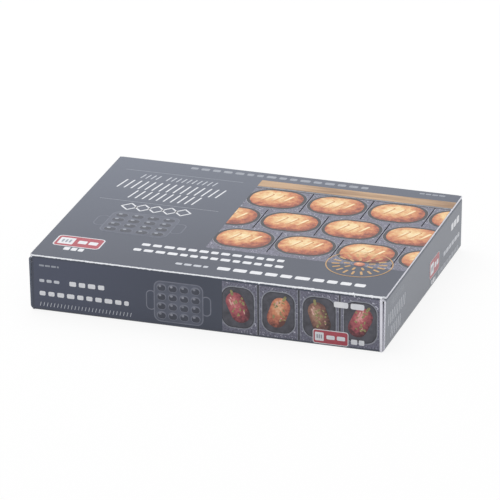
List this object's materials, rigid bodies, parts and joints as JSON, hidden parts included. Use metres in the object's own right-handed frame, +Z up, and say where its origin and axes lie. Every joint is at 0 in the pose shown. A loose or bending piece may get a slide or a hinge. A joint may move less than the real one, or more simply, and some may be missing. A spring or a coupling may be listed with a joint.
{
  "type": "boxed takoyaki plate",
  "caption": "Flat tuck-end retail carton with hinged end closures and dust flaps, packed with a cast-iron takoyaki plate of round cups in kraft packing.",
  "frame": {"origin": "middle of the carton's footprint, on the surface it stands on", "axes": "+X along the carton's length to its right end, +Y from the front panel to the back panel, +Z up"},
  "size_m": [0.2736, 0.204, 0.0436],
  "materials": {
    "printed_board": "satin print varnish on fluted carton board",
    "white_board": "unprinted white liner, matte",
    "kraft_board": "kraft corrugated board, matte",
    "seasoned_iron": "sand-cast, baked black seasoning",
    "leaflet_paper": "uncoated white paper"
  },
  "bodies": {
    "sleeve": {"top_panel": "printed_board", "bottom_panel": "printed_board", "front_panel": "printed_board", "back_panel": "printed_board", "glue_flap": "white_board", "inner_tray": "kraft_board", "takoyaki_plate": "seasoned_iron", "cover_pad": "kraft_board", "leaflet": "leaflet_paper", "right_end_cradle": "kraft_board", "left_end_cradle": "kraft_board"},
    "right_closure": {"right_closure": "printed_board"},
    "right_tuck": {"right_tuck_flap": "white_board"},
    "right_front_dust": {"right_front_dust_flap": "white_board"},
    "right_back_dust": {"right_back_dust_flap": "white_board"},
    "left_closure": {"left_closure": "printed_board"},
    "left_tuck": {"left_tuck_flap": "white_board"},
    "left_front_dust": {"left_front_dust_flap": "white_board"},
    "left_back_dust": {"left_back_dust_flap": "white_board"}
  },
  "joints": [
    {"name": "right_closure_hinge", "type": "hinge", "parent": "sleeve", "child": "right_closure", "pos_m": [0.136, 0, 0], "axis": [0, 1, 0], "range_deg": [0, 89]},
    {"name": "right_tuck_crease", "type": "hinge", "parent": "right_closure", "child": "right_tuck", "pos_m": [0.1346, 0, 0.04022], "axis": [0, 1, 0], "range_deg": [-26, 2]},
    {"name": "right_front_dust_crease", "type": "hinge", "parent": "sleeve", "child": "right_front_dust", "pos_m": [0.134, -0.102, 0], "axis": [0, 0, -1], "range_deg": [0, 90]},
    {"name": "right_back_dust_crease", "type": "hinge", "parent": "sleeve", "child": "right_back_dust", "pos_m": [0.134, 0.102, 0], "axis": [0, 0, 1], "range_deg": [0, 90]},
    {"name": "left_closure_hinge", "type": "hinge", "parent": "sleeve", "child": "left_closure", "pos_m": [-0.136, 0, 0], "axis": [0, -1, 0], "range_deg": [0, 89]},
    {"name": "left_tuck_crease", "type": "hinge", "parent": "left_closure", "child": "left_tuck", "pos_m": [-0.1346, 0, 0.04022], "axis": [0, -1, 0], "range_deg": [-26, 2]},
    {"name": "left_front_dust_crease", "type": "hinge", "parent": "sleeve", "child": "left_front_dust", "pos_m": [-0.134, -0.102, 0], "axis": [0, 0, 1], "range_deg": [0, 90]},
    {"name": "left_back_dust_crease", "type": "hinge", "parent": "sleeve", "child": "left_back_dust", "pos_m": [-0.134, 0.102, 0], "axis": [0, 0, -1], "range_deg": [0, 90]}
  ],
  "couplings": [
    {"joint": "right_tuck_crease", "follows": "right_closure_hinge", "ratio": -0.25},
    {"joint": "right_front_dust_crease", "follows": "right_closure_hinge", "ratio": 1},
    {"joint": "right_back_dust_crease", "follows": "right_closure_hinge", "ratio": 1},
    {"joint": "left_tuck_crease", "follows": "left_closure_hinge", "ratio": -0.25},
    {"joint": "left_front_dust_crease", "follows": "left_closure_hinge", "ratio": 1},
    {"joint": "left_back_dust_crease", "follows": "left_closure_hinge", "ratio": 1}
  ]
}
